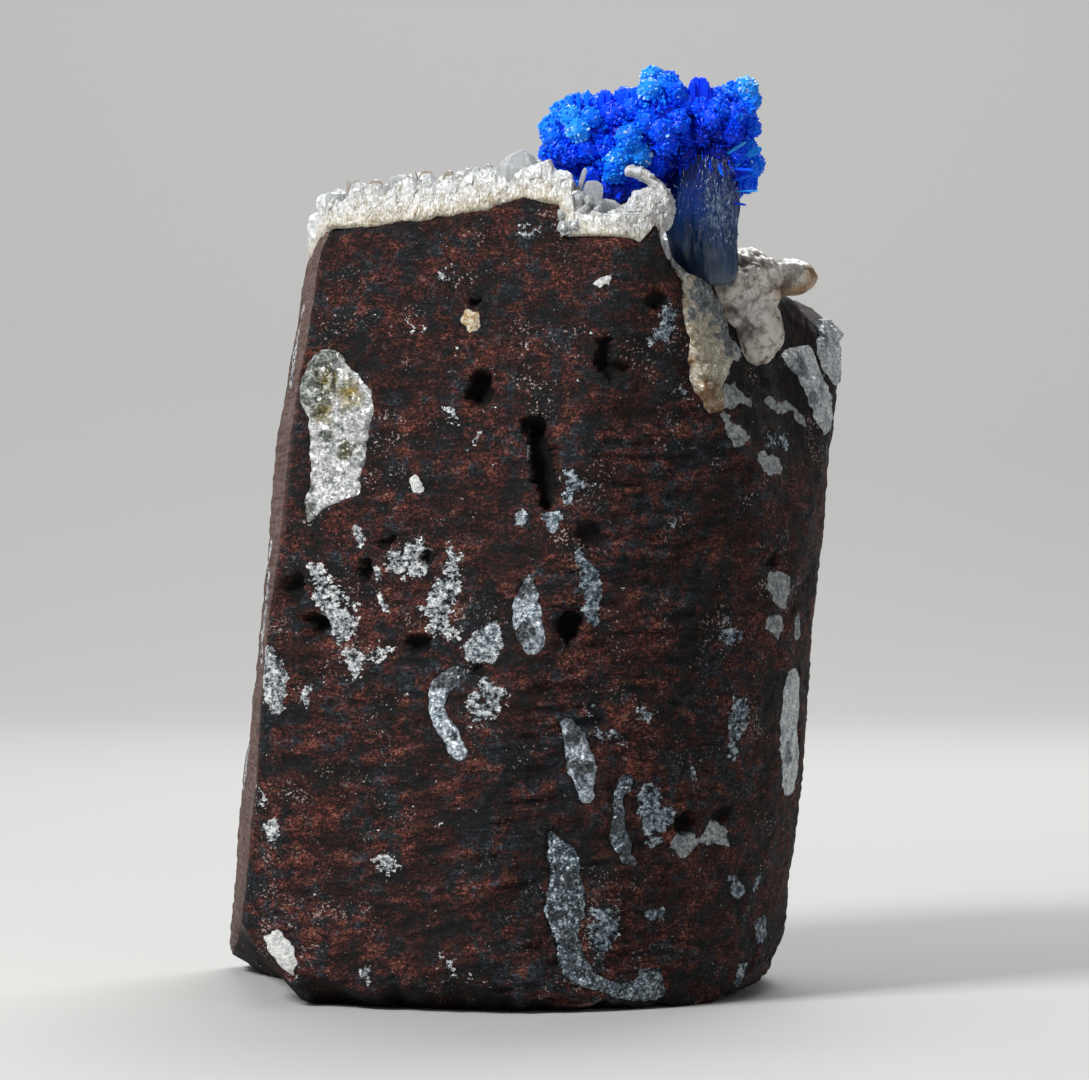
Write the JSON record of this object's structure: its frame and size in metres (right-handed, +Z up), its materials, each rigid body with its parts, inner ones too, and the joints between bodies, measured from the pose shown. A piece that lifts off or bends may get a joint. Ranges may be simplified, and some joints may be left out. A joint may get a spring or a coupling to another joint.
{
  "type": "cavansite mineral specimen on basalt",
  "caption": "Leaning block of red-brown basalt drill core with a white zeolite crust and a vivid blue cavansite crystal cluster on its broken top.",
  "frame": {"origin": "on the flat foot, at ground level, close under the core axis", "axes": "+Z up through the leaning column to the crystals, -Y towards the front with the notch on the right, +X to the right"},
  "size_m": [0.0635, 0.0637, 0.0921],
  "materials": {
    "basalt": "matt with a fine crystalline sparkle",
    "white_zeolite": "pearly, translucent crystals",
    "cavansite": "vitreous blades",
    "clear_crystal": "clear to milky, grey-blue",
    "brown_calcite": "waxy, translucent",
    "cream_zeolite": "finely crystalline",
    "amygdule_zeolite": "pearly, cleaved"
  },
  "bodies": {
    "root": {"basalt_core": "basalt", "zeolite_crust": "white_zeolite", "cavansite_cluster": "cavansite", "clear_column": "clear_crystal", "calcite_lump": "brown_calcite", "notch_lining": "cream_zeolite", "upper_vein": "white_zeolite", "lower_vein": "white_zeolite", "amygdule_left": "amygdule_zeolite", "amygdule_heart": "amygdule_zeolite", "amygdule_crease": "amygdule_zeolite", "amygdule_middle": "amygdule_zeolite", "amygdule_small": "amygdule_zeolite", "amygdule_foot": "amygdule_zeolite", "amygdule_right": "amygdule_zeolite"}
  },
  "joints": []
}
